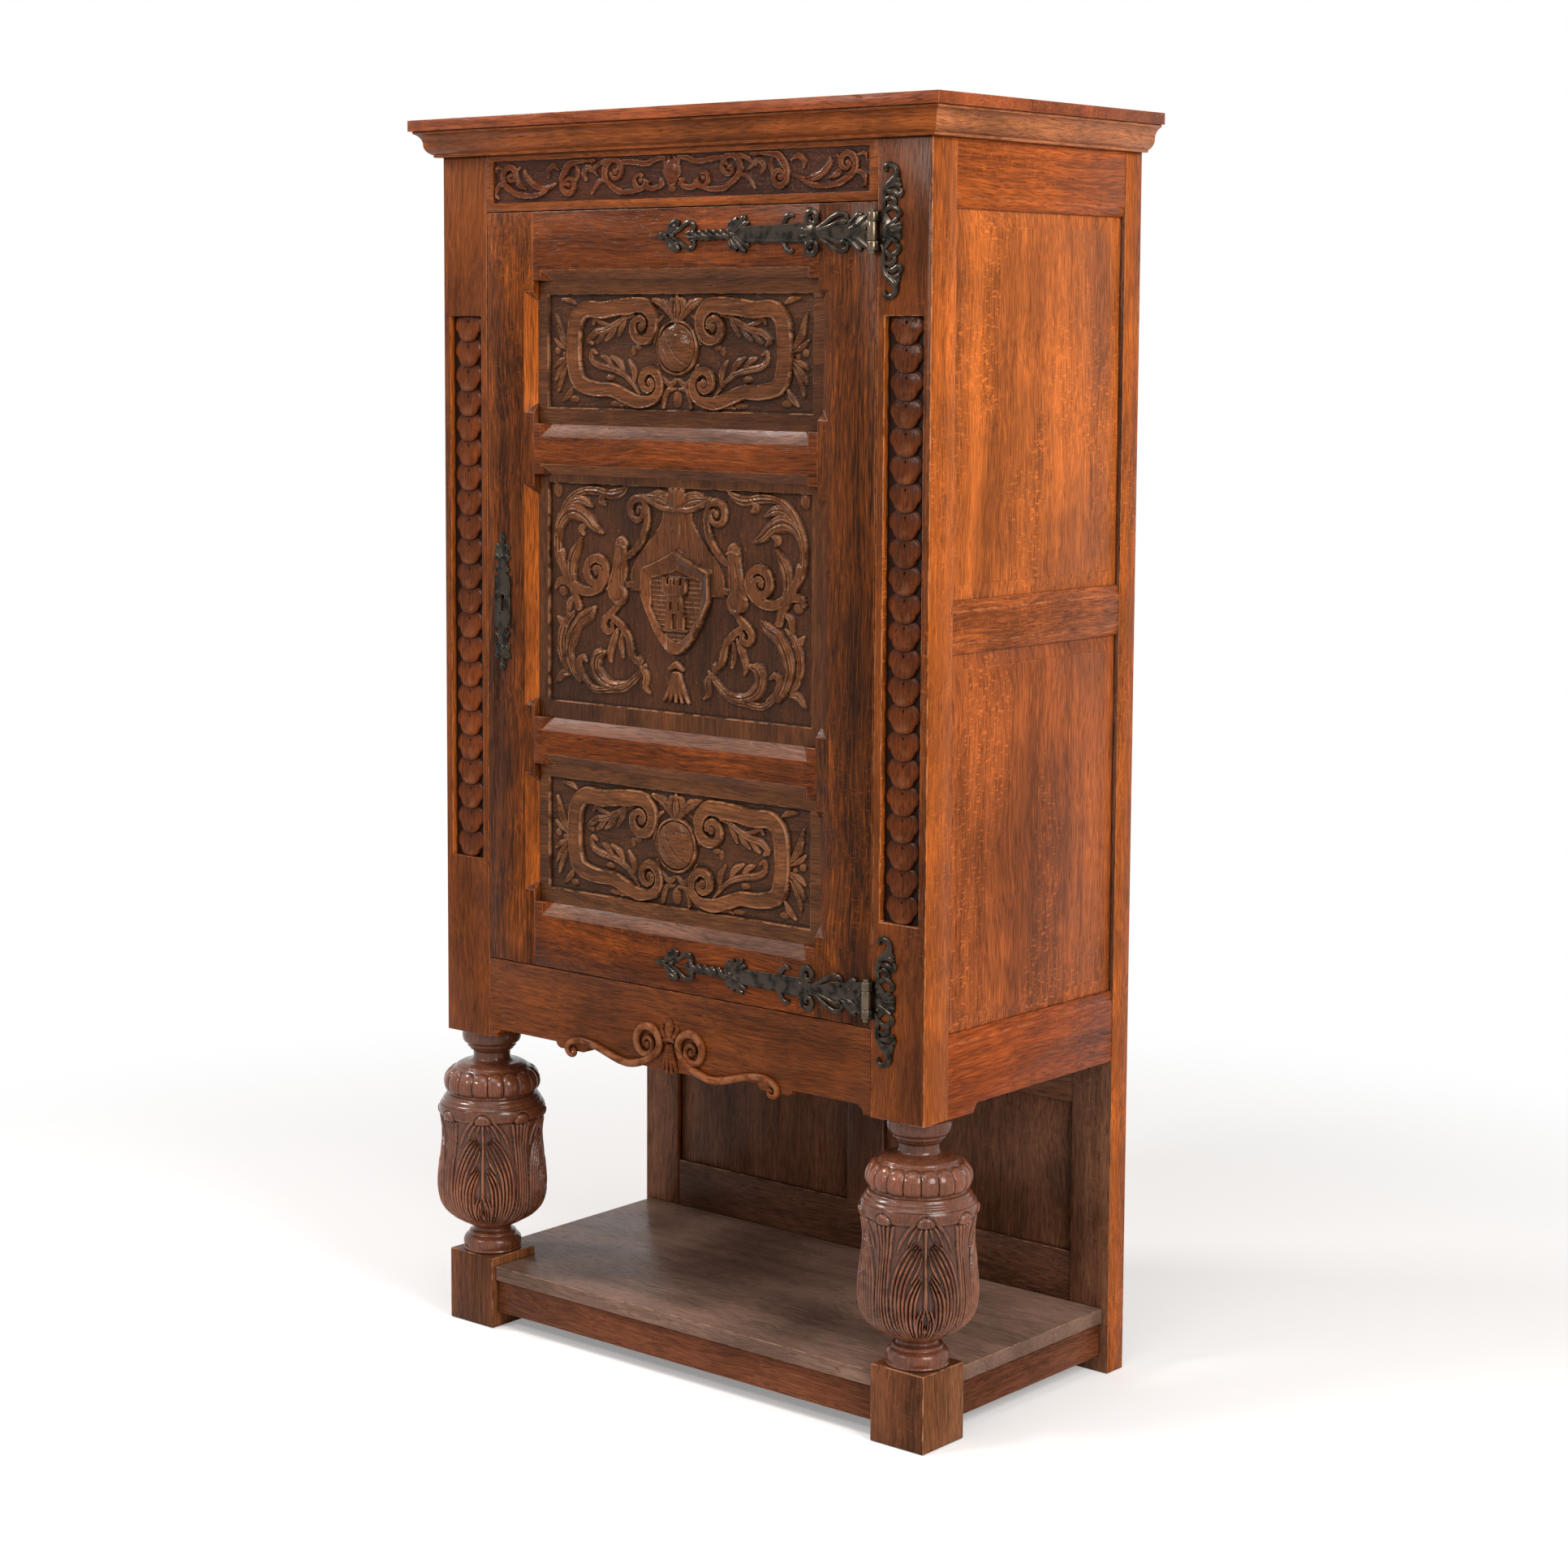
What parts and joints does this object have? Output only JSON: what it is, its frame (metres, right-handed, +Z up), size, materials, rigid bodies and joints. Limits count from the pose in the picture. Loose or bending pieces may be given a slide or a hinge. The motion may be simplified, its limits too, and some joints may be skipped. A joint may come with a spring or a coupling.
{
  "type": "bonnetiere cabinet",
  "caption": "Tall narrow oak cupboard with one carved, strap-hinged door, carried at the front on turned balusters over an open stage with a low platform.",
  "frame": {"origin": "on the floor, under the middle of the overall box", "axes": "+Z up, the front with its door faces -Y, +X to the right of someone facing the front"},
  "size_m": [1.011, 0.531, 1.85],
  "materials": {
    "frame_oak": "varnished oak, satin",
    "carved_oak": "carved and varnished oak, dark in the hollows",
    "inner_oak": "stained oak, matt",
    "platform_oak": "worn dark oak, matt",
    "hinge_iron": "blackened wrought iron, worn bright on the edges",
    "lock_steel": "dull steel"
  },
  "bodies": {
    "carcase": {"apron_rail": "frame_oak", "back_cupboard_rail": "frame_oak", "back_foot_rail": "frame_oak", "back_mid_rail": "frame_oak", "back_muntins": "inner_oak", "back_top_rail": "frame_oak", "cupboard_floor": "inner_oak", "frieze_rail": "frame_oak", "front_cornice": "frame_oak", "hinge_pins": "hinge_iron", "left_back_post": "frame_oak", "left_baluster": "carved_oak", "left_bottom_rail": "frame_oak", "left_cornice": "frame_oak", "left_foot_block": "frame_oak", "left_front_post": "frame_oak", "left_lower_panel": "frame_oak", "left_mid_rail": "frame_oak", "left_platform_rail": "frame_oak", "left_scale_strip": "carved_oak", "left_top_rail": "frame_oak", "left_upper_panel": "frame_oak", "lower_back_panels": "inner_oak", "lower_frame_leaf": "hinge_iron", "lower_shelf": "inner_oak", "platform_board": "platform_oak", "platform_front_rail": "frame_oak", "right_back_post": "frame_oak", "right_baluster": "carved_oak", "right_bottom_rail": "frame_oak", "right_cornice": "frame_oak", "right_foot_block": "frame_oak", "right_front_post": "frame_oak", "right_lower_panel": "frame_oak", "right_mid_rail": "frame_oak", "right_platform_rail": "frame_oak", "right_scale_strip": "carved_oak", "right_top_rail": "frame_oak", "right_upper_panel": "frame_oak", "shelf_cleats": "inner_oak", "strike_plate": "lock_steel", "top_board": "frame_oak", "upper_back_panels": "inner_oak", "upper_frame_leaf": "hinge_iron", "upper_shelf": "inner_oak"},
    "door": {"bottom_door_panel": "carved_oak", "door_bottom_rail": "frame_oak", "door_lower_rail": "frame_oak", "door_top_rail": "frame_oak", "door_upper_rail": "frame_oak", "escutcheon": "hinge_iron", "hinge_stile": "frame_oak", "lock_case": "lock_steel", "lock_stile": "frame_oak", "lower_strap_hinge": "hinge_iron", "middle_door_panel": "carved_oak", "top_door_panel": "carved_oak", "upper_strap_hinge": "hinge_iron"},
    "bolt": {"lock_bolt": "lock_steel"}
  },
  "joints": [
    {"name": "door_hinge", "type": "hinge", "parent": "carcase", "child": "door", "pos_m": [0.37, -0.2355, 1.149], "axis": [0, 0, 1], "range_deg": [0, 170]},
    {"name": "lock_slide", "type": "slide", "parent": "door", "child": "bolt", "axis": [-1, 0, 0], "range_m": [0, 0.011]}
  ]
}
